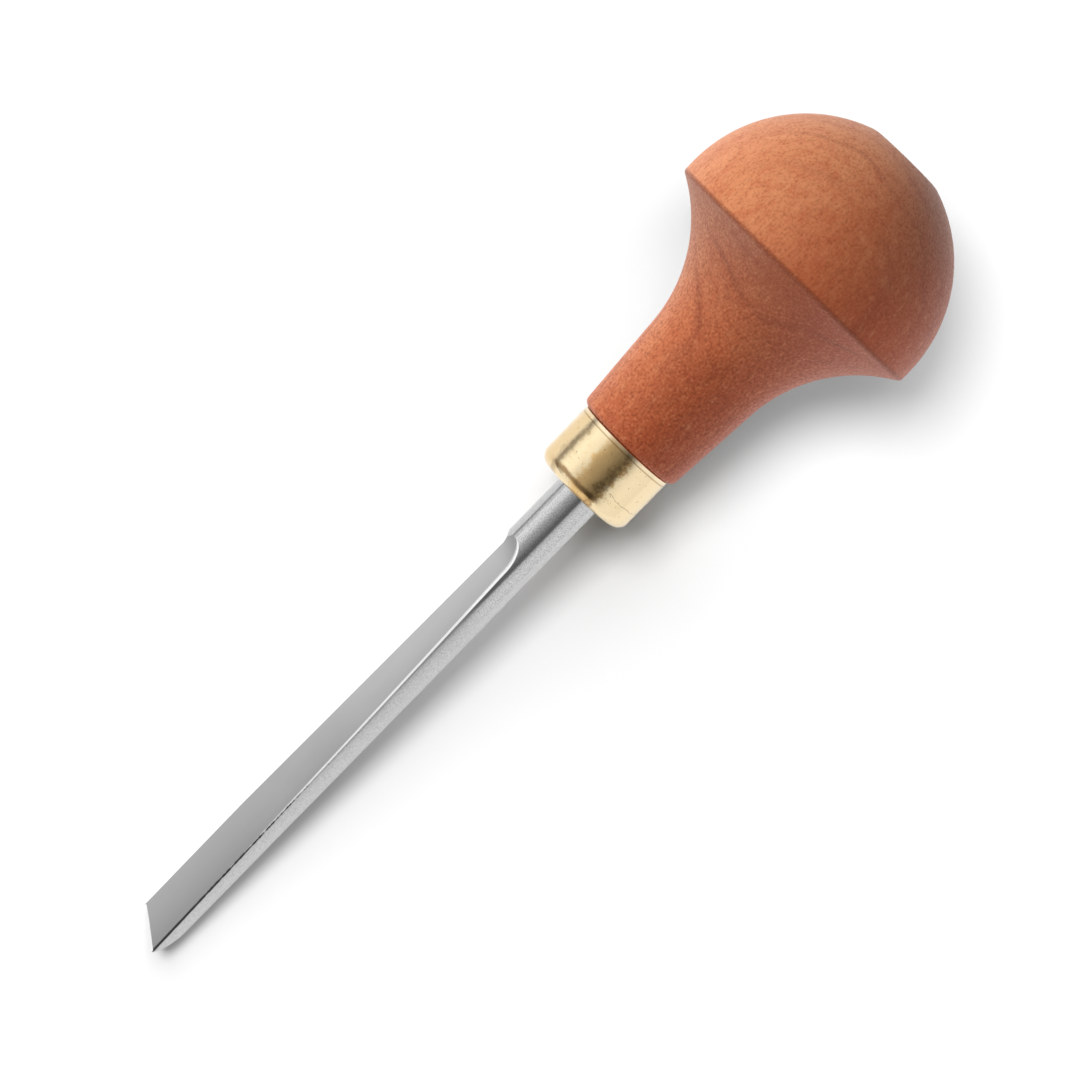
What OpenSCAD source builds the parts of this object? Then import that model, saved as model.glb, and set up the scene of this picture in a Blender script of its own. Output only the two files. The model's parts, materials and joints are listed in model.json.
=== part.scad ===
// Palm gouge. A round steel bar with a ground face and a skewed cutting edge sits in a drawn
// brass ferrule and a turned hardwood mushroom handle. The tool lies on the bench as it is put
// down: on the rim of the mushroom and on a small flat on the heel of its bevel, point towards -X.
// Every length is in millimetres. Stations along the tool count from the joint between
// ferrule and handle, and grow towards the pommel.

/* [Bar] */
// Diameter of the round steel bar that the blade is ground from
bar_d = 6; // [5:0.1:7.5]
// Length of blade that stands out of the ferrule, up to the point
blade_reach = 75.3; // [50:0.1:100]
// Length of bar left round between the ferrule and the ground shoulder
shank_len = 8.8; // [4:0.2:14]
// Length of tang behind the ferrule, inside the handle
tang_len = 22; // [12:1:28]
// Length of the blunt cone that the tang ends in
tang_cone_len = 3; // [1:0.5:6]
// Diameter of the blunt end of the tang
tang_end_d = 2; // [1:0.1:4]

/* [Ground face] */
// Radius of the shallow hollow across the face
sweep_r = 40; // [25:1:80]
// Height of the hollow above the bar's axis at the shoulder
face_shoulder_h = 2.25; // [1.8:0.05:2.4]
// Height of the hollow above the bar's axis at the cutting edge
face_edge_h = 0.85; // [0.6:0.05:1.5]
// Radius of the wheel mark where the face climbs to the round shank
face_runout_r = 10; // [4:0.5:20]
// Depth of the ground flank in the far side of the bar at the shoulder
flank_cut = 0.6; // [0.3:0.05:1]
// Angle at which the flank tapers out towards the point
flank_taper = 0.7; // [0.5:0.1:1.5]
// Radius of the wheel mark where the flank climbs to the round shank
flank_runout_r = 3; // [2.5:0.5:12]
// Roll of the face away from straight up, as the tool lies
face_roll = 36; // [0:1:60]

/* [Cutting edge] */
// Angle of the cutting edge from square across the bar
edge_skew = 26; // [0:1:40]
// Angle between face and bevel at the cutting edge
bevel_edge_angle = 40; // [32:1:50]
// Angle of the rolled bevel where it runs out at the belly
bevel_heel_angle = 22; // [15:1:28]
// Height of the land that honing leaves along the cutting edge
edge_land = 0.05; // [0.02:0.01:0.2]
// Depth of the small flat on the heel of the bevel, on which the tool lies without rolling
heel_flat = 0.2; // [0.1:0.05:0.4]

/* [Ferrule] */
// Outside diameter of the ferrule
ferrule_d = 13.2; // [11:0.1:14]
// Length of the ferrule from its front to the handle
ferrule_len = 8.3; // [6:0.1:14]
// Wall of the ferrule, all over
ferrule_wall = 0.8; // [0.5:0.05:1.2]
// Outer radius of the drawn front corner
ferrule_front_r = 1.5; // [1.3:0.1:2.5]
// Chamfer round the rear edge of the ferrule
ferrule_rear_break = 0.3; // [0.1:0.05:0.4]

/* [Handle] */
// Step from the ferrule out to the neck
neck_step = 0.6; // [0.4:0.05:2]
// Angle at which the neck widens towards the cove
neck_angle = 3.9; // [0:0.1:8]
// Length of the straight neck
neck_len = 12.6; // [6:0.2:16]
// Chamfer round the front edge of the neck
neck_break = 0.5; // [0.2:0.1:0.9]
// Diameter of the rim of the mushroom
rim_d = 35.5; // [32:0.5:40]
// Station of the rim
rim_at = 27.7; // [22:0.1:36]
// Length of the narrow land behind the rim
rim_land = 1.5; // [0.5:0.1:4]
// Height of the dome from the land to the flat on its pole
dome_h = 17.5; // [15.5:0.1:22]
// Diameter of the flat on the pole
pole_d = 9.8; // [6:0.2:14]

/* [Fits] */
// Radial clearance of the shank in the ferrule's front hole
shank_clear = 0.05; // [0.02:0.01:0.2]
// Radial clearance of the tang in its bore
tang_clear = 0.05; // [0.02:0.01:0.2]
// Radial clearance of the ferrule on the handle's spigot
spigot_clear = 0.05; // [0.02:0.01:0.2]
// Clearance between the end of the spigot and the front wall of the ferrule
spigot_end_clear = 0.1; // [0.05:0.05:0.5]
// Clearance left at the bottom of the tang bore
bore_end_clear = 0.5; // [0.2:0.1:2]

/* [Hidden] */
$fn = 96;

bar_r = bar_d / 2;
rim_r = rim_d / 2;
ferrule_r = ferrule_d / 2;

// Stations of the blade
front_at = -ferrule_len;
point_at = front_at - blade_reach;
shoulder_at = front_at - shank_len;
// A wheel of radius r needs this length to climb out of a cut of depth d
function runout_len(r, d) = sqrt(2 * r * d - d * d);
face_end_at = shoulder_at - runout_len(face_runout_r, bar_r - face_shoulder_h);
flank_end_at = shoulder_at - runout_len(flank_runout_r, flank_cut);
face_slope = atan((face_shoulder_h - face_edge_h) / (face_end_at - point_at));

// Half the length of the cutting edge, square across: out to where the lips of the hollow meet
// the round bar
lip_rise = 1 + face_edge_h / sweep_r;
lip_room = (pow(bar_r, 2) - pow(face_edge_h, 2)) / pow(sweep_r, 2);
edge_corner = sweep_r * sqrt(2 * (sqrt(pow(lip_rise, 2) + lip_room) - lip_rise));
lip_h = face_edge_h + pow(edge_corner, 2) / (2 * sweep_r);

// Rolled bevel: one arc that turns from the edge angle to the heel angle
bevel_h = face_edge_h - edge_land;
bevel_r = (bevel_h + bar_r) / (cos(bevel_heel_angle) - cos(bevel_edge_angle));
bevel_centre = [bevel_r * sin(bevel_edge_angle), bevel_h + bevel_r * cos(bevel_edge_angle)];
bevel_len = bevel_centre[0] - bevel_r * sin(bevel_heel_angle);
// Distance of the bevel from the cutting edge, square to it, at a height above the bar's axis
function bevel_at(h) = bevel_centre[0] - sqrt(pow(bevel_r, 2) - pow(bevel_centre[1] - h, 2));

// Ferrule and spigot
ferrule_bore_r = ferrule_r - ferrule_wall;
ferrule_inner_r = ferrule_front_r - ferrule_wall;
spigot_r = ferrule_bore_r - spigot_clear;
spigot_len = ferrule_len - ferrule_wall - spigot_end_clear;
spigot_break = ferrule_inner_r + spigot_clear;
tang_bore_r = bar_r + tang_clear;

// Cove: the arc that leaves the neck tangent to it and ends on the rim
neck_r = ferrule_r + neck_step;
neck_back_r = neck_r + neck_len * tan(neck_angle);
cove_run = [rim_r - neck_back_r, rim_at - neck_len];
cove_r = (cove_run * cove_run) / (2 * (cove_run[0] * cos(neck_angle) - cove_run[1] * sin(neck_angle)));
cove_centre = [neck_back_r + cove_r * cos(neck_angle), neck_len - cove_r * sin(neck_angle)];

// Dome: the arc that leaves the land tangent to it and ends on the edge of the pole's flat
dome_at = rim_at + rim_land;
handle_len = dome_at + dome_h;
pole_r = pole_d / 2;
dome_run = [rim_r - pole_r, dome_h];
dome_r = (dome_run * dome_run) / (2 * dome_run[0]);

// How the tool lies: the rim and the flat on the heel of the bevel touch the bench together
heel_side = bar_r * sin(face_roll);
heel_at = point_at + (edge_corner + heel_side) * tan(edge_skew)
    + bevel_at(-bar_r * cos(face_roll)) / cos(edge_skew);
lie = atan((rim_r - bar_r + heel_flat) / (rim_at - heel_at));
lift = rim_r * cos(lie) - rim_at * sin(lie);
point_h = edge_corner * sin(face_roll) + lip_h * cos(face_roll);
reach_front = point_at * cos(lie) - point_h * sin(lie);
reach_back = handle_len * cos(lie) + pole_r * sin(lie);

// Lays the tool, drawn along X with its joint at the origin, on the bench with its box centred
module on_bench() {
    translate([-(reach_front + reach_back) / 2, 0, lift])
        rotate([0, -lie, 0])
            children();
}

// Stands a profile of radius and station on the tool's axis
module turned() {
    rotate([0, 90, 0])
        rotate_extrude()
            children();
}

// Section through the rim of a grinding wheel with a plain rim
module flat_rim(wheel_r) {
    translate([wheel_r - bar_r, -bar_d])
        square([bar_r, 2 * bar_d]);
}

// Section through the rim of a grinding wheel that is crowned across to a radius
module crowned_rim(wheel_r, crown_r) {
    intersection() {
        translate([wheel_r - bar_r, -bar_d])
            square(2 * bar_d);
        translate([wheel_r - crown_r, 0])
            circle(crown_r, $fn = 256);
    }
}

// Cut of a wheel that runs in from the point at a slope, then climbs up and out at the shoulder.
// Its child is the section through the wheel's rim.
module wheel_cut(end_at, height, slope, wheel_r) {
    climb = 80;
    translate([end_at, 0, height])
        rotate([0, -slope, 0])
            translate([0, 0, wheel_r])
                rotate([90, 0, 0])
                    rotate([0, 0, -90]) {
                        rotate_extrude(angle = climb)
                            children();
                        rotate([90, 0, 0])
                            linear_extrude(height = end_at - point_at + bar_d)
                                children();
                    }
}

// What grinding takes off the end: all in front of the edge, and the rolled bevel under it
module edge_cut() {
    across = 4 * bar_d;
    translate([point_at, -edge_corner, 0])
        rotate([0, 0, -edge_skew]) {
            translate([-across, -across / 2, -bar_d])
                cube([across, across, 2 * bar_d]);
            rotate([90, 0, 0])
                linear_extrude(height = across, center = true)
                    difference() {
                        translate([-bar_r, -bar_d])
                            square([bevel_len + bar_d, 2 * bar_d]);
                        translate(bevel_centre)
                            circle(bevel_r, $fn = 256);
                    }
        }
}

// Steel bar with its tang, ground to a hollow face, a flank on the far side and a skewed edge
module ground_bar() {
    difference() {
        turned()
            polygon([[0, point_at - bar_r],
                     [bar_r, point_at - bar_r],
                     [bar_r, tang_len - tang_cone_len],
                     [tang_end_d / 2, tang_len],
                     [0, tang_len]]);
        wheel_cut(face_end_at, face_shoulder_h, face_slope, face_runout_r)
            crowned_rim(face_runout_r, sweep_r);
        rotate([face_roll - 90, 0, 0])
            wheel_cut(flank_end_at, bar_r - flank_cut, -flank_taper, flank_runout_r)
                flat_rim(flank_runout_r);
        edge_cut();
    }
}

// The ground bar as it lies, with the flat on its heel level with the bench
module blade() {
    color("silver")
        difference() {
            on_bench()
                rotate([-face_roll, 0, 0])
                    ground_bar();
            translate([reach_front, -bar_d, -bar_d])
                cube([-reach_front, 2 * bar_d, bar_d]);
        }
}

// Outline of a cup that opens towards the handle, with a round front corner
module cup_profile(r, front, corner) {
    translate([0, front])
        square([r - corner, -front]);
    translate([0, front + corner])
        square([r, -front - corner]);
    translate([r - corner, front + corner])
        circle(corner);
}

// Drawn brass cup that stops the neck from splitting
module ferrule() {
    color("goldenrod")
        on_bench()
            turned()
                difference() {
                    cup_profile(ferrule_r, front_at, ferrule_front_r);
                    cup_profile(ferrule_bore_r, front_at + ferrule_wall, ferrule_inner_r);
                    translate([0, front_at - ferrule_wall])
                        square([bar_r + shank_clear, ferrule_len]);
                    translate([ferrule_r, 0])
                        rotate(45)
                            square(ferrule_rear_break * sqrt(2), center = true);
                }
}

// Outline of the turned handle from the end of its spigot to the flat on its pole
module handle_profile() {
    difference() {
        polygon([[0, -spigot_len],
                 [spigot_r - spigot_break, -spigot_len],
                 [spigot_r, spigot_break - spigot_len],
                 [spigot_r, 0],
                 [neck_r - neck_break, 0],
                 [neck_r + neck_break * tan(neck_angle), neck_break],
                 [neck_back_r, neck_len],
                 [rim_r, neck_len],
                 [rim_r, dome_at],
                 [0, dome_at]]);
        intersection() {
            translate(cove_centre)
                circle(cove_r, $fn = 192);
            translate([0, neck_len])
                square([rim_d, rim_at - neck_len]);
        }
    }
    intersection() {
        translate([rim_r - dome_r, dome_at])
            circle(dome_r, $fn = 192);
        translate([0, dome_at])
            square([rim_r, dome_h]);
    }
}

// Turned hardwood mushroom with a blind bore for the tang
module handle() {
    color("sienna")
        on_bench()
            difference() {
                turned()
                    handle_profile();
                translate([-ferrule_len, 0, 0])
                    rotate([0, 90, 0])
                        cylinder(r = tang_bore_r, h = ferrule_len + tang_len + bore_end_clear);
            }
}

blade();
ferrule();
handle();
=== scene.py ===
"""Looks of a palm gouge: a ground steel blade in a brass ferrule and a turned mushroom handle."""

import json

import bmesh
import bpy
import numpy as np
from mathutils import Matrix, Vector


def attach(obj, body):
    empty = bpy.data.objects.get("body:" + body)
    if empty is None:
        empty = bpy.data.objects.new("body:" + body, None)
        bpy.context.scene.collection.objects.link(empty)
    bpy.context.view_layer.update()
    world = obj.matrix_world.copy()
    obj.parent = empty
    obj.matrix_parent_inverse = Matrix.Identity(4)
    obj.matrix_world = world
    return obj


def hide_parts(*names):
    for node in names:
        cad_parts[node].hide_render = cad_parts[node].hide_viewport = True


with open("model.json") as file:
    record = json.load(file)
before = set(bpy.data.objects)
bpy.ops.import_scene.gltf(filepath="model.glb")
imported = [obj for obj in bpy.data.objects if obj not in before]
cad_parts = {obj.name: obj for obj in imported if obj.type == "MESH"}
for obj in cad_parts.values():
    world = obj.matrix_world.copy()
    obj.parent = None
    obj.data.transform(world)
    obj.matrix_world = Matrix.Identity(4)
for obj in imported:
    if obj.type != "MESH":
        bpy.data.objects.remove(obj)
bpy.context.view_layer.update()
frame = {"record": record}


# HANDLE
# A mushroom turned from one block of reddish fruitwood with the grain along the tool, sanded and oiled.
# Its spigot carries the ferrule, and a blind bore down its axis holds the tang of the blade.
# Sizes are in millimetres, and stations run along the axis from the joint of ferrule and handle.
mm = 0.001
neck_front_r, neck_angle, neck_len = 7.2, np.radians(3.9), 12.6
neck_break, neck_break_rise = 0.45, 0.03
rim_r, rim_at, dome_at, handle_len, pole_r = 17.75, 27.7, 29.2, 46.7, 4.9
spigot_r, spigot_len, spigot_break = 5.75, 7.4, 0.75
tang_bore_r, tang_bore_len = 3.05, 22.5
cove_points, dome_points, handle_sides = 60, 80, 192
handle_step, handle_rounding = 0.24, 0.22

pole_mount = next(m for m in frame["record"]["mounts"] if m["name"] == "pommel_face")
tool_axis = np.array(pole_mount["axis"]) / np.linalg.norm(pole_mount["axis"])
tool_joint = np.array(pole_mount["pos_m"]) - mm * handle_len * tool_axis
tool_up = np.array([-tool_axis[2], 0.0, tool_axis[0]])
tool_tilt = np.arctan2(tool_axis[2], tool_axis[0])


def lay_along_tool(station, across, above):
    """Place on the bench of a point of the tool, in metres: the joint of ferrule and handle, plus the
    station along the axis, the distance across it and the height above it, all in millimetres."""
    station, across, above = np.broadcast_arrays(station, across, above)
    steps = mm * np.stack([station, across, above], axis=-1)
    return tool_joint + steps @ np.stack([tool_axis, (0.0, 1.0, 0.0), tool_up])


def skin(name, grid, closed_rows=False, **marks):
    """Object whose quads join the points of a grid. Each row is closed into a ring, and the rows are
    too where closed_rows says so. Points that coincide are merged, so a row on the axis is a pole.
    marks are values for each point, kept as attributes of the mesh."""
    merge_within, sliver = 2e-7, 1e-8
    rows, columns = grid.shape[:2]
    index = np.arange(rows * columns).reshape(rows, columns)
    if closed_rows:
        index = np.vstack([index, index[:1]])
    after = np.roll(index, -1, axis=1)
    quads = np.stack([index[:-1], after[:-1], after[1:], index[1:]], axis=-1).reshape(-1, 4)
    mesh = bpy.data.meshes.new(name)
    mesh.from_pydata(grid.reshape(-1, 3).tolist(), [], quads.tolist())
    for mark, values in marks.items():
        layer = mesh.attributes.new(mark, "FLOAT", "POINT")
        layer.data.foreach_set("value", np.ascontiguousarray(values, dtype=np.float32).ravel())
    shell = bmesh.new()
    shell.from_mesh(mesh)
    bmesh.ops.remove_doubles(shell, verts=shell.verts, dist=merge_within)
    bmesh.ops.dissolve_degenerate(shell, edges=shell.edges, dist=sliver)
    bmesh.ops.recalc_face_normals(shell, faces=shell.faces)
    shell.to_mesh(mesh)
    shell.free()
    mesh.polygons.foreach_set("use_smooth", np.ones(len(mesh.polygons), dtype=bool))
    piece = bpy.data.objects.new(name, mesh)
    bpy.context.scene.collection.objects.link(piece)
    return piece


def turned(name, stations, radii, sides, closed_rows=False):
    """Object that a profile of stations and radii sweeps when it turns once round the tool's axis."""
    turn = np.linspace(0.0, 2.0 * np.pi, sides, endpoint=False)
    across, above = radii[:, None] * np.sin(turn), radii[:, None] * np.cos(turn)
    return skin(name, lay_along_tool(stations[:, None], across, above), closed_rows)


def soft_profile(corners, step, rounding, closed=False):
    """Profile through corner points of station and radius, cut into even steps and then averaged with
    a bell curve as wide as the rounding, out to three widths, so that every corner gets a small radius."""
    bell_widths = 3.0
    corners = np.asarray(corners, dtype=float)
    if closed:
        corners = np.vstack([corners, corners[:1]])
    run = np.concatenate([[0.0], np.cumsum(np.linalg.norm(np.diff(corners, axis=0), axis=1))])
    at = np.linspace(0.0, run[-1], int(run[-1] / step) + 1)
    even = np.stack([np.interp(at, run, corners[:, 0]), np.interp(at, run, corners[:, 1])], axis=-1)
    reach = int(np.ceil(bell_widths * rounding / step))
    bell = np.exp(-0.5 * (np.arange(-reach, reach + 1) * step / rounding) ** 2)
    bell /= bell.sum()
    if closed:
        padded = np.vstack([even[-reach - 1:-1], even, even[1:reach + 1]])
    else:
        before, after = 2 * even[0] - even[reach:0:-1], 2 * even[-1] - even[-2:-reach - 2:-1]
        padded = np.vstack([before, even, after])
    smooth = np.stack([np.convolve(padded[:, k], bell, mode="valid") for k in (0, 1)], axis=-1)
    return smooth[:-1] if closed else smooth


def arc(centre, start, end, count):
    """Points on a circle round the centre, from the start point to the end point by the shorter way."""
    a, b = np.subtract(start, centre), np.subtract(end, centre)
    turn = np.linspace(np.arctan2(a[1], a[0]), np.arctan2(b[1], b[0]), count)
    return np.add(centre, np.hypot(*a) * np.stack([np.cos(turn), np.sin(turn)], axis=-1))


# The cove is the circle that leaves the neck tangent to it and ends on the rim. The dome is the circle
# that leaves the land behind the rim tangent to it and ends on the edge of the flat at the pole.
neck_back = np.array([neck_len, neck_front_r + neck_len * np.tan(neck_angle)])
cove_run = np.array([rim_at, rim_r]) - neck_back
cove_lift = cove_run[1] * np.cos(neck_angle) - cove_run[0] * np.sin(neck_angle)
cove_r = cove_run @ cove_run / (2.0 * cove_lift)
cove_centre = neck_back + cove_r * np.array([-np.sin(neck_angle), np.cos(neck_angle)])
dome_run = np.array([handle_len - dome_at, rim_r - pole_r])
dome_r = dome_run @ dome_run / (2.0 * dome_run[1])
handle_corners = np.vstack([
    [[tang_bore_len, 0.0], [tang_bore_len, tang_bore_r], [-spigot_len, tang_bore_r]],
    [[-spigot_len, spigot_r - spigot_break], [spigot_break - spigot_len, spigot_r], [0.0, spigot_r]],
    [[0.0, neck_front_r - neck_break], [neck_break, neck_front_r + neck_break_rise]],
    arc(cove_centre, neck_back, (rim_at, rim_r), cove_points),
    arc((dome_at, rim_r - dome_r), (dome_at, rim_r), (handle_len, pole_r), dome_points),
    [[handle_len, 0.0]],
])
handle_profile = soft_profile(handle_corners, handle_step, handle_rounding)
handle_profile[[0, -1], 1] = 0.0
handle_radii = np.maximum(handle_profile[:, 1], 0.0)
handle = turned("turned_handle", handle_profile[:, 0], handle_radii, handle_sides)


def feed(tree, node, inputs):
    """Fill inputs of a shader node, each with a value or with another node's output."""
    for key, value in inputs.items():
        if isinstance(value, bpy.types.NodeSocket):
            tree.links.new(value, node.inputs[key])
        else:
            node.inputs[key].default_value = value


def put(tree, kind, inputs=None, group_node=False, **settings):
    """One new shader node with its settings and its inputs."""
    made = tree.nodes.new(("Node" if group_node else "ShaderNode") + kind)
    for key, value in settings.items():
        setattr(made, key, value)
    feed(tree, made, inputs or {})
    return made


def start_finish(name):
    """New material with an empty tree, its surface shader, and the tool's own coordinates in
    millimetres: along the axis from the joint, across it and above it."""
    finish = bpy.data.materials.new(name)
    finish.use_nodes = True
    tree = finish.node_tree
    tree.nodes.clear()
    shader = put(tree, "BsdfPrincipled")
    put(tree, "OutputMaterial", {"Surface": shader.outputs["BSDF"]})
    place = put(tree, "Mapping", {
        "Vector": put(tree, "TexCoord").outputs["Object"],
        "Location": tool_joint,
        "Rotation": (0.0, -tool_tilt, 0.0),
        "Scale": (mm, mm, mm),
    }, vector_type="TEXTURE")
    return finish, tree, shader, place.outputs["Vector"]


def stretch(tree, vector, scale, shift=(0.0, 0.0, 0.0)):
    """The coordinates times a scale for each direction, moved by a shift so that no two noises agree."""
    return put(tree, "Mapping", {"Vector": vector, "Scale": scale, "Location": shift}).outputs["Vector"]


def speckle(tree, vector, detail=3.0, rough=0.55):
    """Noise of about one speck for each unit of the coordinates."""
    return put(tree, "TexNoise", {
        "Vector": vector, "Scale": 1.0, "Detail": detail, "Roughness": rough,
    }).outputs[0]


def ease(tree, value, low, high, to_low=0.0, to_high=1.0):
    """The value brought from the span low to high into another span, with soft ends."""
    return put(tree, "MapRange", {
        "Value": value, "From Min": low, "From Max": high, "To Min": to_low, "To Max": to_high,
    }, interpolation_type="SMOOTHSTEP").outputs[0]


def sums(tree, operation, *values):
    """One Math node over values or outputs."""
    return put(tree, "Math", dict(enumerate(values)), operation=operation).outputs[0]


def times(tree, first, *others):
    """Product of values or outputs."""
    for other in others:
        first = sums(tree, "MULTIPLY", first, other)
    return first


def near(tree, value, centre, full, gone, share=1.0):
    """The share where the value is within the distance full of a centre, eased to nothing where it is
    the distance gone away from it."""
    away = sums(tree, "ABSOLUTE", sums(tree, "SUBTRACT", value, centre))
    return ease(tree, away, full, gone, share, 0.0)


def tint(tree, share, colour_a, colour_b):
    """Colour a mixed with colour b by a share."""
    return put(tree, "Mix", {0: share, 6: colour_a, 7: colour_b}, data_type="RGBA").outputs[2]


def bump(tree, height, strength, depth, below=None):
    """Normal of a relief of some depth, laid over the relief below it."""
    under = {} if below is None else {"Normal": below}
    return put(tree, "Bump", {
        "Height": height, "Strength": strength, "Distance": mm * depth, **under,
    }).outputs["Normal"]


# Fine grain that all three finishes share: soft mottling, small pits, and streaks along the first axis.
pit_shift, pit_span = (31, 17, 5), (0.66, 0.76)
streak_scale, streak_shift = (0.12, 1.4, 1.4), (3, 8, 2)
surface_grain = bpy.data.node_groups.new("surface_grain", "ShaderNodeTree")
surface_grain.interface.new_socket("Vector", in_out="INPUT", socket_type="NodeSocketVector")
surface_grain.interface.new_socket("Specks per mm", in_out="INPUT", socket_type="NodeSocketFloat")
for output in ("Mottle", "Pits", "Streaks"):
    surface_grain.interface.new_socket(output, in_out="OUTPUT", socket_type="NodeSocketFloat")
given = put(surface_grain, "GroupInput", group_node=True).outputs
scaled = put(surface_grain, "VectorMath", {
    0: given["Vector"], "Scale": given["Specks per mm"],
}, operation="SCALE").outputs[0]
pit_noise = speckle(surface_grain, stretch(surface_grain, scaled, (1, 1, 1), pit_shift), 1.0)
streak_place = stretch(surface_grain, scaled, streak_scale, streak_shift)
put(surface_grain, "GroupOutput", {
    "Mottle": speckle(surface_grain, scaled, 2.5, 0.6),
    "Pits": ease(surface_grain, pit_noise, *pit_span),
    "Streaks": speckle(surface_grain, streak_place, 3.0, 0.62),
}, group_node=True)


def grain(tree, vector, specks_per_mm):
    """The shared grain, placed in a material with its own size of speck."""
    placed = put(tree, "Group", node_tree=surface_grain)
    feed(tree, placed, {"Vector": vector, "Specks per mm": specks_per_mm})
    return placed.outputs


wood, tree, shader, tool_mm = start_finish("oiled_fruitwood")
pale_wood, red_wood = (0.66, 0.258, 0.114, 1), (0.46, 0.098, 0.036, 1)
dark_wood, flecks = (0.17, 0.032, 0.013, 1), (0.74, 0.29, 0.135, 1)
wood_specks_per_mm, wood_specular = 3.0, 0.38
pith, ring_stretch, ring_width, ring_waves = np.array([0.0, -4.0, -30.0]), (0.05, 1.0, 1.0), 3.4, 1.2
cloud_scale, patch_scale, patch_shift = (0.045, 0.10, 0.10), (0.50, 0.90, 0.90), (9, 2, 6)
fade_scale, fade_shift = (0.04, 0.08, 0.08), (7, 3, 1)
# Each mask eases over a span, between the values after it. The rings and the painted shadow line at the rim
# have a centre.
late_wood, ring_red = (0.85, 0.0, 0.14), 0.16
ring_fade, ring_depth = (0.36, 0.70), (25.0, 30.0, 0.50, 0.24)
sapwood_sheen_along, sapwood_sheen_across, sapwood_sheen_clouds, sapwood_sheen_span = 0.5, 1.3, 26.0, (9.0, 46.0)
red_patches, pale_patches = (0.44, 0.70, 0.0, 0.42), (0.46, 0.26, 0.0, 0.36)
painted_cove_shade_start, painted_cove_shade_stop = (13.0, 26.5, 0.0, 0.46), (27.7, 28.3, 1.0, 0.0)
painted_cove_shade_across, rim_shadow_line = (-14.0, 2.0, 0.35, 1.0), (27.8, 0.10, 0.50, 0.50)
coarse_span, dark_streaks = (20.0, 30.0, 1.0, 0.62), (0.42, 0.74, 0.0, 0.30)
dark_specks, pale_specks = (0.48, 0.70, 0.0, 0.56), (0.48, 0.28, 0.0, 0.34)
wood_rough, wood_relief = (0.3, 0.7, 0.40, 0.55), (0.30, 0.1)

place = put(tree, "SeparateXYZ", {0: tool_mm}).outputs
along, across = place["X"], place["Y"]
wood_grain = grain(tree, tool_mm, wood_specks_per_mm)
clouds = speckle(tree, stretch(tree, tool_mm, cloud_scale), 2.0)
patches = speckle(tree, stretch(tree, tool_mm, patch_scale, patch_shift), 3.0, 0.6)
fading = speckle(tree, stretch(tree, tool_mm, fade_scale, fade_shift), 2.0)
from_pith = put(tree, "VectorMath", {
    0: stretch(tree, tool_mm, ring_stretch, -pith),
}, operation="LENGTH").outputs["Value"]
ring_count = sums(tree, "MULTIPLY_ADD", clouds, ring_waves, sums(tree, "DIVIDE", from_pith, ring_width))
ring_phase = sums(tree, "FRACT", ring_count)
# Paler towards the dome and towards the far side, which faces the lamp: partly pale sapwood in the wood,
# partly a painted sheen of light on that side.
sapwood_and_sheen = sums(tree, "MULTIPLY_ADD", along, sapwood_sheen_along, times(tree, across, sapwood_sheen_across))
sapwood_and_sheen = ease(tree, sums(tree, "MULTIPLY_ADD", clouds, sapwood_sheen_clouds, sapwood_and_sheen), *sapwood_sheen_span)
# Painted shade in the cove under the rim: it grows towards the rim, stops there, and is fainter on the near
# side.
painted_cove_shade = times(
    tree, ease(tree, along, *painted_cove_shade_start), ease(tree, along, *painted_cove_shade_stop),
    ease(tree, across, *painted_cove_shade_across),
)
rings = times(
    tree, near(tree, ring_phase, *late_wood), ease(tree, fading, *ring_fade), ease(tree, along, *ring_depth),
)
coarse = ease(tree, along, *coarse_span)
colour = tint(tree, sapwood_and_sheen, red_wood, pale_wood)
for share, over in (
    (times(tree, ring_phase, ring_red), red_wood),
    (ease(tree, patches, *red_patches), red_wood),
    (ease(tree, patches, *pale_patches), flecks),
    (painted_cove_shade, dark_wood),
    # A thin painted shadow line along the edge of the rim.
    (near(tree, along, *rim_shadow_line), dark_wood),
    (rings, dark_wood),
    (times(tree, coarse, ease(tree, wood_grain["Streaks"], *dark_streaks)), dark_wood),
    (times(tree, coarse, ease(tree, wood_grain["Mottle"], *dark_specks)), dark_wood),
    (times(tree, coarse, ease(tree, wood_grain["Mottle"], *pale_specks)), flecks),
):
    colour = tint(tree, share, colour, over)
feed(tree, shader, {
    "Base Color": colour,
    "Roughness": ease(tree, wood_grain["Mottle"], *wood_rough),
    "Specular IOR Level": wood_specular,
    "Normal": bump(tree, wood_grain["Mottle"], *wood_relief),
})
handle.data.materials.append(wood)
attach(handle, "root")
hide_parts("handle")


# FERRULE
# A cup drawn from thin brass sheet with a round front corner, polished and since then slightly tarnished.
# It is pressed over the spigot, so that the neck can't split, and the shank passes through its front wall.
ferrule_r, ferrule_len, ferrule_wall, ferrule_corner = 6.6, 8.3, 0.8, 1.5
shank_hole_r, rear_break = 3.05, 0.15
corner_points, inner_points, ferrule_sides = 24, 12, 160
ferrule_step, ferrule_rounding = 0.09, 0.06
bore_r = ferrule_r - ferrule_wall
inner_corner = ferrule_corner - ferrule_wall
corner_at, inner_front = ferrule_corner - ferrule_len, ferrule_wall - ferrule_len
round_r, inner_round_r = ferrule_r - ferrule_corner, bore_r - inner_corner
ferrule_corners = np.vstack([
    [[-ferrule_len, shank_hole_r]],
    arc((corner_at, round_r), (-ferrule_len, round_r), (corner_at, ferrule_r), corner_points),
    [[-rear_break, ferrule_r], [0.0, ferrule_r - rear_break], [0.0, bore_r]],
    arc((corner_at, inner_round_r), (corner_at, bore_r), (inner_front, inner_round_r), inner_points),
    [[inner_front, shank_hole_r]],
])
ferrule_profile = soft_profile(ferrule_corners, ferrule_step, ferrule_rounding, closed=True)
ferrule = turned("brass_ferrule", *ferrule_profile.T, ferrule_sides, closed_rows=True)

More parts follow.
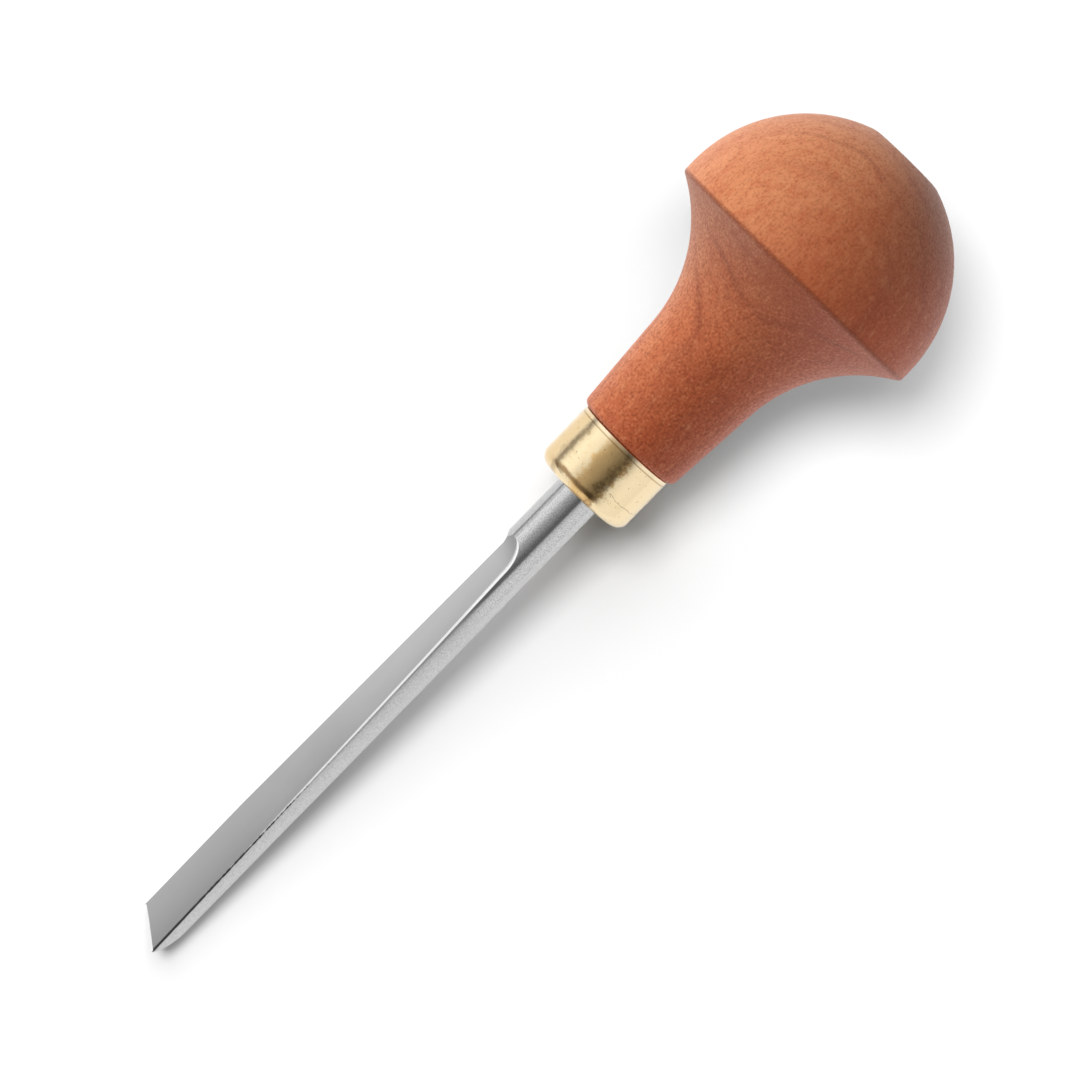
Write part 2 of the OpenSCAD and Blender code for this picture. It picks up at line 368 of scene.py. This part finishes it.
brass, tree, shader, tool_mm = start_finish("worn_brass")
clean_brass, brown_brass, pale_brass = (0.90, 0.735, 0.47, 1), (0.78, 0.50, 0.20, 1), (0.93, 0.80, 0.62, 1)
# The dark brown serves a stain near the rear and the painted dark reflections on the ferrule.
stain_and_dark_reflection, dirt = (0.26, 0.15, 0.06, 1), (0.06, 0.035, 0.02, 1)
brass_specks_per_mm = 2.6
tarnish_scale, dent_scale, dent_shift = (0.75, 0.45, 0.45), (0.32, 0.32, 0.32), (2, 2, 2)
# Marks by the turn from the top in radians, or by the station: the centre, how far the mark is full, how
# far away it ends, and its share. The tarnish makes their edges waver.
turn_waver, corner_waver, hairline_waver = 0.5, 0.9, 1.2
tarnish_and_reflection_band, far_stain = (0.24, 0.21, 0.35, 0.85), (1.36, 0.10, 0.34, 0.40)
band_edge, painted_horizon_line = (0.02, 0.04, 0.17, 0.62), (1.04, 0.02, 0.14, 0.42)
corner_line, corner_line_across = (-6.60, 0.08, 0.52, 0.85), (1.4, 2.4, 4.4)
hairline, rear_line = (-5.4, 0.02, 0.07, 0.4), (-0.66, 0.03, 0.14, 0.55)
# Masks that ease over a span, between the values after it.
hairline_across, painted_rear_highlight = (-2.2, -2.8), (-0.55, -0.35, 0.0, 0.40)
brown_clouds, brown_specks = (0.56, 0.72, 0.0, 0.30), (0.56, 0.75, 0.0, 0.18)
band_edge_specks, pit_dirt = (0.38, 0.58, 0.3, 1.0), 0.35
brass_rough, dent_relief, brass_relief = (0.3, 0.75, 0.11, 0.24), (0.30, 0.3), (0.10, 0.04)

place = put(tree, "SeparateXYZ", {0: tool_mm}).outputs
along, across = place["X"], place["Y"]
brass_grain = grain(tree, tool_mm, brass_specks_per_mm)
tarnish = speckle(tree, stretch(tree, tool_mm, tarnish_scale), 5.0, 0.66)
dents = speckle(tree, stretch(tree, tool_mm, dent_scale, dent_shift), 2.0)
top_turn = sums(tree, "ARCTAN2", across, place["Z"])
mark_turn = sums(tree, "MULTIPLY_ADD", tarnish, turn_waver, top_turn)
corner_place = sums(tree, "MULTIPLY_ADD", tarnish, corner_waver, along)
tarnish_sway = sums(tree, "SUBTRACT", tarnish, 0.5)
hairline_place = sums(tree, "MULTIPLY_ADD", tarnish_sway, hairline_waver, along)
# Dark specks along the band's edge on the top: the painted edge of the dark reflection, flecked like
# tarnish.
reflection_band_edge = times(
    tree, near(tree, mark_turn, *band_edge), ease(tree, brass_grain["Mottle"], *band_edge_specks),
)
# A dark arc along the front corner: a painted reflection of the dark overhead.
painted_corner_reflection = times(
    tree, near(tree, corner_place, *corner_line), near(tree, across, *corner_line_across),
)
crack = times(tree, near(tree, hairline_place, *hairline), ease(tree, across, *hairline_across))
# A brown band a little to the far side of the top: tarnish, and a painted dark reflection of the dark
# overhead.
colour = tint(tree, near(tree, mark_turn, *tarnish_and_reflection_band), clean_brass, brown_brass)
for share, over in (
    (near(tree, mark_turn, *far_stain), brown_brass),
    (ease(tree, tarnish, *brown_clouds), brown_brass),
    (ease(tree, brass_grain["Mottle"], *brown_specks), brown_brass),
    (painted_corner_reflection, stain_and_dark_reflection),
    (reflection_band_edge, stain_and_dark_reflection),
    # A thin painted reflection of the dark horizon on the far side of the ferrule.
    (near(tree, mark_turn, *painted_horizon_line), stain_and_dark_reflection),
    (times(tree, brass_grain["Pits"], pit_dirt), dirt),
    (crack, dirt),
    # A pale strip at the rear edge: a painted highlight of the rear rim.
    (ease(tree, along, *painted_rear_highlight), pale_brass),
    (near(tree, along, *rear_line), stain_and_dark_reflection),
):
    colour = tint(tree, share, colour, over)
relief = bump(tree, dents, *dent_relief)
relief = bump(tree, brass_grain["Mottle"], *brass_relief, below=relief)
feed(tree, shader, {
    "Base Color": colour,
    "Metallic": 1.0,
    "Roughness": ease(tree, tarnish, *brass_rough),
    "Normal": relief,
})
ferrule.data.materials.append(brass)
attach(ferrule, "root")
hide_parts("ferrule")


# BLADE
# One round bar of tool steel, ground to a nearly flat face, a shallow flank on the far side that tapers out
# towards the point, and a skewed edge with a rolled bevel underneath. The near side and the belly stay
# round. Behind the shoulder the bar is left round as shank and tang, which is driven into the handle.
bar_r, blade_reach, shank_len = 3.0, 75.3, 8.8
tang_len, tang_cone_len, tang_end_r = 22.0, 3.0, 1.0
sweep_r, face_shoulder_h, face_edge_h, face_runout_r = 40.0, 2.25, 0.85, 10.0
flank_cut, flank_taper, flank_runout_r = 0.6, np.radians(0.7), 3.0
face_roll, edge_skew = np.radians([36.0, 26.0])
flank_turn = 0.5 * np.pi - face_roll
bevel_edge_angle, bevel_heel_angle = np.radians([40.0, 22.0])
edge_land, hone_angle = 0.05, np.radians(35.0)
# The edges are worn round: by a share of the full radius at the point, and more behind a station. No
# radius is more than a share of the height that the honed edge leaves for it.
worn_edge_r, worn_at_point, worn_room = 0.16, 0.35, 0.3
worn_from, worn_over = -75.0, 40.0
# The lip of the face is broken: a narrow strip slopes down to it, wider towards the shoulder, and never
# more than a share of the face. The points across the strip are given in its own widths from the lip.
break_slope, break_room, break_clear = 0.14, 0.4, 1.25
break_stations, break_widths = (-84.0, -76.0, -50.0, -30.0, -20.0), (0.04, 0.06, 0.13, 0.28, 0.42)
break_steps = np.array([1.05, 0.95, 0.5, 0.0])
# The rings lean over by the skew up to a distance behind the edge, and stand upright further back.
lean_until, lean_over = 8.0, 30.0
line_points, fan_points = 15, 6
bar_kind, face_kind, flank_kind, bevel_kind = 0.0, 1.0, 2.0, 3.0
off_lip, tiny = -9.0, 1e-9
point_at = -ferrule_len - blade_reach
shoulder_at = -ferrule_len - shank_len
lip_rise = 1.0 + face_edge_h / sweep_r
lip_room = (bar_r ** 2 - face_edge_h ** 2) / sweep_r ** 2
edge_corner = sweep_r * np.sqrt(2.0 * (np.sqrt(lip_rise ** 2 + lip_room) - lip_rise))


def wheel_end(depth, wheel_r):
    """Station at which a wheel starts to climb, so that it leaves the bar at the shoulder."""
    cut = bar_r - depth
    return shoulder_at - np.sqrt(2.0 * wheel_r * cut - cut ** 2)


def wheel_path(station, depth, slope, wheel_r):
    """Distance from the bar's axis to a ground surface: a sloping line from the point to where the wheel
    starts to climb, and then the wheel's own circle, up to the surface of the bar."""
    past = station - wheel_end(depth, wheel_r)
    climb = wheel_r - np.sqrt(wheel_r ** 2 - np.clip(past, 0.0, wheel_r) ** 2)
    return np.minimum(depth + slope * np.minimum(past, 0.0) + climb, bar_r)


def half_ring(face, flank, floor, hone, worn, break_w):
    """Half of a ring round the bar, from the middle of the face down one side to the middle of the belly:
    hollow face with its broken lip, round bar, flank, round belly and flat of the bevel, each a straight
    line or an arc. Corners are drawn in by the worn radius, turned in small fans and let out again. Gives
    the place across and above the axis, the kind of surface and the distance round the ring from the lip."""
    r_in, face_in, flank_in, floor_in = bar_r - worn, face - worn, flank - worn, floor + worn
    chord = np.sqrt(np.maximum(r_in ** 2 - face_in ** 2, 0.0))
    break_w = np.minimum(break_w, break_room * chord)
    lip_at = np.minimum(face_in + chord ** 2 / (2.0 * sweep_r) - break_slope * break_w, r_in)
    top_end = np.sqrt(np.maximum(r_in ** 2 - lip_at ** 2, 0.0))
    lip_turn = np.arctan2(top_end, lip_at)

    # The flank may cut into the face, lie clear of it, or be missing. The bevel may be missing too.
    half_span = np.arccos(np.clip(flank_in / r_in, -1.0, 1.0))
    has_flank = (flank < bar_r - tiny) & (lip_turn < flank_turn + half_span)
    has_bevel = floor > tiny - bar_r
    cut_in = has_flank & (lip_turn > flank_turn - half_span)
    meet = (flank_in - lip_at * np.cos(flank_turn)) / np.sin(flank_turn)
    lip_at = np.where(cut_in, face_in + meet ** 2 / (2.0 * sweep_r), lip_at)
    top_end = np.where(cut_in, (flank_in - lip_at * np.cos(flank_turn)) / np.sin(flank_turn), top_end)
    corner = np.where(cut_in, np.minimum(lip_turn, flank_turn), lip_turn)
    belly_to = np.where(has_bevel, np.arccos(np.clip(floor_in / r_in, -1.0, 1.0)), np.pi)
    flank_from = np.where(has_flank, flank_turn - half_span, flank_turn)
    flank_to = np.where(has_flank, flank_turn + half_span, flank_turn)
    upper_to = np.where(cut_in, corner, np.maximum(np.minimum(flank_from, belly_to), corner))
    lower_from = np.maximum(np.minimum(flank_to, belly_to), upper_to)
    belly_to = np.maximum(belly_to, lower_from)
    facing = np.where(has_flank, flank_turn, upper_to)
    flank_end = np.where(cut_in, top_end, r_in * np.sin(upper_to))
    flank_top = np.where(cut_in, lip_at, r_in * np.cos(upper_to))
    heel_end, heel_top = r_in * np.sin(lower_from), r_in * np.cos(lower_from)
    low_end, low_at = r_in * np.sin(belly_to), r_in * np.cos(belly_to)

    # The face, from its middle to the lip, and the strip of the broken lip.
    even, fan = np.linspace(0.0, 1.0, line_points), np.linspace(0.0, 1.0, fan_points)[1:-1]
    quarter = 0.5 * np.pi * even
    inside = np.sin(quarter) * np.maximum(top_end - break_clear * break_w, 0.0)
    inside = np.hstack([inside, top_end - break_w * break_steps])
    broken = np.maximum(break_w - (top_end - inside), 0.0)
    face_line = face_in + inside ** 2 / (2.0 * sweep_r) - break_slope * broken
    face_line = np.minimum(face_line, np.sqrt(np.maximum(r_in ** 2 - inside ** 2, 0.0)))
    face_line = np.minimum(face_line, np.maximum(hone, floor_in))
    tilt = np.where(broken > 0.0, np.arctan(break_slope), 0.0) - inside / sweep_r
    tilt_end = tilt[:, -1:]

    # Each run is the place across and above, the way that the surface faces there, and its kind.
    arc_turn = corner + (upper_to - corner) * even
    belly_turn = lower_from + (belly_to - lower_from) * even
    round_across = np.where(cut_in, top_end, r_in * np.sin(arc_turn))
    round_above = np.where(cut_in, lip_at, r_in * np.cos(arc_turn))
    flank_across = flank_end + (heel_end - flank_end) * even
    flank_above = flank_top + (heel_top - flank_top) * even
    on_flank, on_bevel = flank_kind * has_flank, bevel_kind * has_bevel
    lip_kind = np.where(break_w > 0.0, bar_kind, face_kind)
    runs = [
        (inside, face_line, tilt, np.where(broken > 0.0, bar_kind, face_kind)),
        (top_end, face_line[:, -1:], tilt_end + (corner - tilt_end) * fan, lip_kind),
        (round_across, round_above, arc_turn, bar_kind),
        (flank_end, flank_top, upper_to + (facing - upper_to) * fan, on_flank),
        (flank_across, flank_above, facing, on_flank),
        (heel_end, heel_top, facing + (lower_from - facing) * fan, on_flank),
        (r_in * np.sin(belly_turn), r_in * np.cos(belly_turn), belly_turn, bar_kind),
        (low_end, low_at, belly_to + (np.pi - belly_to) * fan, on_bevel),
        (low_end * np.cos(quarter), low_at, np.pi, on_bevel),
    ]
    columns = zip(*(np.broadcast_arrays(*run) for run in runs))
    across, above, turn, kind = (np.hstack(column) for column in columns)
    across, above = across + worn * np.sin(turn), above + worn * np.cos(turn)
    step_across = np.diff(across, axis=1, prepend=across[:, :1])
    step_above = np.diff(above, axis=1, prepend=above[:, :1])
    run_on = np.cumsum(np.hypot(step_across, step_above), axis=1)
    lip_column = inside.shape[1] - 1
    return across, above, kind, run_on - run_on[:, lip_column:lip_column + 1]


def blade_rings(behind):
    """Rings of points round the bar, one for each distance behind the cutting edge: the far half, with
    the flank, and the near half without one. The floor of a ring follows the circle of the rolled bevel.
    Near the edge the rings lean over by the skew, so that the first one lies along the cutting edge."""
    mid = point_at + behind + edge_corner * np.tan(edge_skew)
    face_slope = (face_shoulder_h - face_edge_h) / (wheel_end(face_shoulder_h, face_runout_r) - point_at)
    face = wheel_path(mid, face_shoulder_h, face_slope, face_runout_r)
    flank = wheel_path(mid, bar_r - flank_cut, -np.tan(flank_taper), flank_runout_r)
    bevel_h = face_edge_h - edge_land
    bevel_r = (bevel_h + bar_r) / (np.cos(bevel_heel_angle) - np.cos(bevel_edge_angle))
    bevel_len = bevel_r * (np.sin(bevel_edge_angle) - np.sin(bevel_heel_angle))
    square = np.minimum(behind * np.cos(edge_skew), bevel_len)
    bevel_cos = np.sqrt(1.0 - (np.sin(bevel_edge_angle) - square / bevel_r) ** 2)
    floor = bevel_h + bevel_r * (np.cos(bevel_edge_angle) - bevel_cos)
    growth = np.clip((mid - worn_from) / worn_over, 0.0, 1.0)
    worn = worn_edge_r * (worn_at_point + (1.0 - worn_at_point) * growth)
    worn = np.minimum(worn, worn_room * behind * np.tan(hone_angle))
    hone = bevel_h + behind * np.tan(hone_angle) - worn
    broken = np.interp(mid, break_stations, break_widths)
    face, flank, floor, hone, worn, broken = (v[:, None] for v in (face, flank, floor, hone, worn, broken))
    far_across, far_above, far_kind, far_lip = half_ring(face, flank, floor, hone, worn, 0.0 * broken)
    across, above, kind, lip = half_ring(face, np.full_like(flank, bar_r), floor, hone, worn, broken)
    back = slice(-2, 0, -1)
    across = np.hstack([far_across, -across[:, back]])
    above = np.hstack([far_above, above[:, back]])
    kind = np.hstack([far_kind, kind[:, back]])
    lip = np.hstack([np.full_like(far_lip, off_lip), lip[:, back]])
    upright = np.clip((behind - lean_until) / lean_over, 0.0, 1.0)[:, None]
    return mid[:, None] + np.tan(edge_skew) * (1.0 - upright) * across, across, above, kind, lip


# The rings stand close together at the edge, along the bevel and where the wheels run out. Each span
# behind the edge has its start, its end and its count of rings.
edge_step, edge_end, edge_rings = 0.02, 1.0, 16
ring_spans = [(1.1, 7.5, 40), (7.8, 56.0, 90), (56.2, 67.0, 150), (67.4, 84.0, 18)]
edge_span = np.geomspace(edge_step, edge_end, edge_rings) - edge_step
behind_edge = np.concatenate([edge_span] + [np.linspace(*span) for span in ring_spans])
station, across, above, ground, lip = blade_rings(behind_edge)
columns = station.shape[1]
tang = np.array([[tang_len - tang_cone_len, bar_r], [tang_len, tang_end_r], [tang_len, 0.0]])
tang_rows = (len(tang), columns)
station = np.vstack([station, np.broadcast_to(tang[:, :1], tang_rows)])
across = np.vstack([across, across[-1:] * tang[:, 1:] / bar_r])
above = np.vstack([above, above[-1:] * tang[:, 1:] / bar_r])
ground = np.vstack([ground, np.full(tang_rows, bar_kind)])
lip = np.vstack([lip, np.full(tang_rows, off_lip)])
behind = np.append(behind_edge, behind_edge[-1] + np.arange(len(tang)))
behind = np.broadcast_to(behind[:, None], lip.shape)
rolled_across = across * np.cos(face_roll) + above * np.sin(face_roll)
rolled_above = above * np.cos(face_roll) - across * np.sin(face_roll)
points = lay_along_tool(station, rolled_across, rolled_above)
points[..., 2] = np.maximum(points[..., 2], 0.0)
blade = skin("ground_blade", points, ground=ground, lip=lip, behind=behind)

steel, tree, shader, tool_mm = start_finish("ground_steel")
bright_steel, grey_steel, near_white_steel = (0.62, 0.62, 0.62, 1), (0.40, 0.40, 0.40, 1), (0.95, 0.95, 0.95, 1)
face_front, face_back = (0.375, 0.375, 0.378, 1), (0.48, 0.48, 0.484, 1)
black_edge = (0.03, 0.03, 0.03, 1)
steel_specks_per_mm = 6.5
wheel_scale, face_scale, face_shift = (5.0, 0.35, 0.35), (0.07, 0.2, 0.2), (5, 1, 3)
growth_scale, growth_shift = (1.5, 0.5, 0.5), (4, 4, 4)
ripple_scale, ripple_shift = (0.5, 0.9, 0.9), (1, 6, 2)
# Masks that ease over a span, between the values after it. The kinds of surface fade out round their own
# number, and the black edge along the lip is a line whose width and depth grow unevenly towards the point.
kind_fade = (0.2, 0.6)
grey_specks = (0.36, 0.70, 0.0, 0.75)
face_clouds, face_span = 40.0, (-52.0, -8.0)
growth_slope, growth_width, growth_depth = -0.012, (1.10, 1.50, 0.0, 0.15), (1.05, 1.30, 0.0, 0.95)
edge_line_at, edge_line_span = 0.06, (0.0, 0.08, 1.0, 0.0)
lip_start, lip_stop, lip_along = (-0.34, -0.16, 0.0, 0.62), (0.02, 0.10, 1.0, 0.0), (-68.0, -52.0)
edge_white_span = (0.14, 0.30, 0.9, 0.0)
satin_along, satin_kind = (-23.0, -30.0), (0.2, 0.6, 0.22, 0.0)
face_rough, flank_rough, steel_rough = 0.10, 0.08, (0.3, 0.7, 0.11, 0.16)
wheel_relief, wheel_depth, ripple_relief, steel_relief = 0.10, 0.02, (0.05, 0.1), (0.20, 0.02)

along = put(tree, "SeparateXYZ", {0: tool_mm}).outputs["X"]
kind, from_lip, from_edge = (
    put(tree, "Attribute", attribute_name=mark).outputs["Fac"] for mark in ("ground", "lip", "behind")
)
steel_grain = grain(tree, tool_mm, steel_specks_per_mm)
on_face = near(tree, kind, face_kind, *kind_fade)
on_flank = near(tree, kind, flank_kind, *kind_fade)
face_tone = speckle(tree, stretch(tree, tool_mm, face_scale, face_shift), 2.0)
face_tone = ease(tree, sums(tree, "MULTIPLY_ADD", face_tone, face_clouds, along), *face_span)
# A ragged mask that grows towards the point and sets the width and depth of the black line along the lip.
growth = speckle(tree, stretch(tree, tool_mm, growth_scale, growth_shift), 6.0, 0.9)
growth = sums(tree, "MULTIPLY_ADD", along, growth_slope, growth)
line_away = sums(tree, "ABSOLUTE", sums(tree, "SUBTRACT", from_lip, edge_line_at))
line_away = sums(tree, "SUBTRACT", line_away, ease(tree, growth, *growth_width))
edge_line = times(tree, ease(tree, line_away, *edge_line_span), ease(tree, growth, *growth_depth))
# A painted highlight along the lip of the face: it fades in some way behind the point and runs back to the
# shoulder.
painted_lip_highlight = times(
    tree, ease(tree, from_lip, *lip_start), ease(tree, from_lip, *lip_stop), ease(tree, along, *lip_along),
)
colour = tint(tree, ease(tree, steel_grain["Mottle"], *grey_specks), bright_steel, grey_steel)
for share, over in (
    (on_face, tint(tree, face_tone, face_front, face_back)),
    (painted_lip_highlight, near_white_steel),
    (edge_line, black_edge),
    # The face turns near white just behind the cutting edge.
    (times(tree, on_face, ease(tree, from_edge, *edge_white_span)), near_white_steel),
):
    colour = tint(tree, share, colour, over)
wheel_marks = speckle(tree, stretch(tree, tool_mm, wheel_scale), 3.0, 0.65)
ripple = speckle(tree, stretch(tree, tool_mm, ripple_scale, ripple_shift), 2.0)
relief = bump(tree, wheel_marks, times(tree, on_flank, wheel_relief), wheel_depth)
relief = bump(tree, ripple, *ripple_relief, below=relief)
relief = bump(tree, steel_grain["Mottle"], *steel_relief, below=relief)
rough = ease(tree, steel_grain["Mottle"], *steel_rough)
rough = sums(tree, "MULTIPLY_ADD", on_face, face_rough, rough)
rough = sums(tree, "MULTIPLY_ADD", on_flank, flank_rough, rough)
satin = times(tree, ease(tree, along, *satin_along), ease(tree, kind, *satin_kind))
feed(tree, shader, {
    "Base Color": colour,
    "Metallic": 1.0,
    "Roughness": sums(tree, "ADD", rough, satin),
    "Normal": relief,
})
blade.data.materials.append(steel)
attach(blade, "root")
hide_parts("blade")


# BENCH AND LIGHT
# A white sheet under the tool. Round it stands a half tunnel of paper that only the tool sees: bright walls
# to both sides, dark overhead where the camera is. Two soft lamps light the tool. Suns light the sheet, and
# two of them are shaded by one part of the tool only, so that each part throws a short soft shadow.
tool = [handle, ferrule, blade]
sheet_half, sheet_z, sheet_white = 0.098, -0.0001, (0.60, 0.60, 0.60, 1)
corner_sign = np.array([(-1, -1), (1, -1), (1, 1), (-1, 1)])
sheet_points = np.column_stack([sheet_half * corner_sign, np.full(4, sheet_z)])
sheet_mesh = bpy.data.meshes.new("bench_sheet")
sheet_mesh.from_pydata(sheet_points.tolist(), [], [(0, 1, 2, 3)])
bench = bpy.data.objects.new("bench_sheet", sheet_mesh)
bpy.context.scene.collection.objects.link(bench)
paper, tree, shader, _ = start_finish("white_paper")
feed(tree, shader, {"Base Color": sheet_white, "Roughness": 1.0, "Specular IOR Level": 0.0})
sheet_mesh.materials.append(paper)

# Tones of the tunnel's wall, each at a lean in degrees from straight up, towards the far side of the tool.
wall_tones = [
    (-97, 0.92), (-84, 0.97), (-64, 1.00), (-52, 0.93), (-44, 0.80), (-38, 0.62), (-33, 0.36), (-28, 0.16),
    (-18, 0.17), (-6, 0.28), (6, 0.42), (18, 0.54), (26, 0.66), (32, 0.84), (40, 1.02), (54, 1.15),
    (66, 1.22), (73, 1.10), (80, 0.90), (86, 0.62), (92, 0.42), (97, 0.40),
]
wall_white, wall_glow, wall_mirrored = 0.8, 0.32, 0.93
wall_r, wall_ends, wall_strips = 1.2, np.array([-1.6, 1.6]), 97
wall_turn = np.radians(np.linspace(wall_tones[0][0], wall_tones[-1][0], wall_strips + 1))
wall_across, wall_above = wall_r * np.sin(wall_turn), wall_r * np.cos(wall_turn)
wall_points = np.stack(np.broadcast_arrays(wall_ends[:, None], wall_across, wall_above), axis=-1)
first = np.arange(wall_strips)
other_end = first + wall_strips + 1
wall_quads = np.stack([first, other_end, other_end + 1, first + 1], axis=-1)
wall_mesh = bpy.data.meshes.new("paper_tunnel")
wall_mesh.from_pydata(wall_points.reshape(-1, 3).tolist(), [], wall_quads.tolist())
tunnel = bpy.data.objects.new("paper_tunnel", wall_mesh)
tunnel.visible_camera = False
tunnel.visible_shadow = False
bpy.context.scene.collection.objects.link(tunnel)
glow = bpy.data.materials.new("lit_paper")
glow.use_nodes = True
tree = glow.node_tree
tree.nodes.clear()
place = put(tree, "SeparateXYZ", {0: put(tree, "TexCoord").outputs["Object"]}).outputs
lean = sums(tree, "ARCTAN2", place["Y"], place["Z"])
round_share = put(tree, "MapRange", {"Value": lean, "From Min": -np.pi, "From Max": np.pi}).outputs[0]
tones = put(tree, "ValToRGB", {0: round_share})
ramp = tones.color_ramp.elements
while len(ramp) < len(wall_tones):
    ramp.new(0.5)
for stop, (degrees, tone) in zip(ramp, wall_tones):
    stop.position = degrees / 360.0 + 0.5
    stop.color = (wall_white * tone, wall_white * tone, wall_white * tone, 1)
mirrored = put(tree, "LightPath").outputs["Is Glossy Ray"]
strength = sums(tree, "MULTIPLY_ADD", mirrored, wall_mirrored, wall_glow)
lit = put(tree, "Emission", {"Color": tones.outputs["Color"], "Strength": strength})
put(tree, "OutputMaterial", {"Surface": lit.outputs[0]})
glow.cycles.emission_sampling = "NONE"
wall_mesh.materials.append(glow)

studio = bpy.data.worlds.new("studio")
bpy.context.scene.world = studio
studio.use_nodes = True
tree = studio.node_tree
tree.nodes.clear()
ray = put(tree, "LightPath").outputs
seen = sums(tree, "MAXIMUM", ray["Is Glossy Ray"], ray["Is Transmission Ray"])
seen = sums(tree, "MAXIMUM", ray["Is Camera Ray"], seen)
plain = put(tree, "Background", {"Color": (1, 1, 1, 1), "Strength": seen})
put(tree, "OutputWorld", {"Surface": plain.outputs[0]})


def link_light(source, role, members):
    """Make the members the only objects that a light source lights, as receivers, or that shade it, as
    blockers."""
    group = bpy.data.collections.new(source.name + "_" + role)
    for member in members:
        group.objects.link(member)
    setattr(source.light_linking, role + "_collection", group)


def lamp(name, place, spread, power, lights, shaded_by=(), kind="AREA"):
    """Soft lamp at a place in metres, aimed at the middle of the bench: a square one of a width, or a sun of
    an angle. It lights only some objects, may be shaded by some only, and is hidden from reflections
    because the metal mirrors the paper instead."""
    data = bpy.data.lights.new(name, kind)
    setattr(data, "size" if kind == "AREA" else "angle", spread)
    data.energy = power
    made = bpy.data.objects.new(name, data)
    made.location = place
    made.rotation_euler = (-Vector(place)).to_track_quat("-Z", "Y").to_euler()
    made.visible_glossy = False
    bpy.context.scene.collection.objects.link(made)
    link_light(made, "receiver", lights)
    if shaded_by:
        link_light(made, "blocker", shaded_by)


# The walls light only the tool, and the wood throws no red light on the sheet, so its shadow stays grey.
link_light(tunnel, "receiver", tool)
handle.visible_diffuse = False
lamp("tool_lamp", (0.08, 0.69, 0.38), 0.45, 7.0, tool)
lamp("near_fill", (-0.35, -0.42, 0.30), 0.50, 1.7, tool)
lamp("sheet_sun", (-0.03, 0.33, 1.0), 0.40, 2.72, [bench], kind="SUN")
lamp("sheet_sun_side", (0.38, -0.08, 1.0), 0.50, 0.60, [bench], kind="SUN")
lamp("sheet_sun_blade", (0.50, 0.62, 1.0), 0.90, 2.72, [bench], [blade, ferrule], kind="SUN")
lamp("sheet_sun_handle", (0.18, 0.12, 1.0), 0.36, 0.82, [bench], [handle], kind="SUN")


# CAMERA
# Overhead, leaning a little towards the point, and turned so that the tool lies from the lower left of the
# picture to the upper right.
camera_data = bpy.data.cameras.new("overhead")
camera_data.sensor_width = 36.0
camera_data.lens = 122.28
camera = bpy.data.objects.new("overhead", camera_data)
camera.location = (-0.01469, -0.00051, 0.44725)
camera.rotation_mode = "ZYX"
camera.rotation_euler = (0.0, -0.04, np.radians(-45.66))
bpy.context.scene.collection.objects.link(camera)
bpy.context.scene.camera = camera
bpy.context.scene.view_settings.view_transform = "Standard"
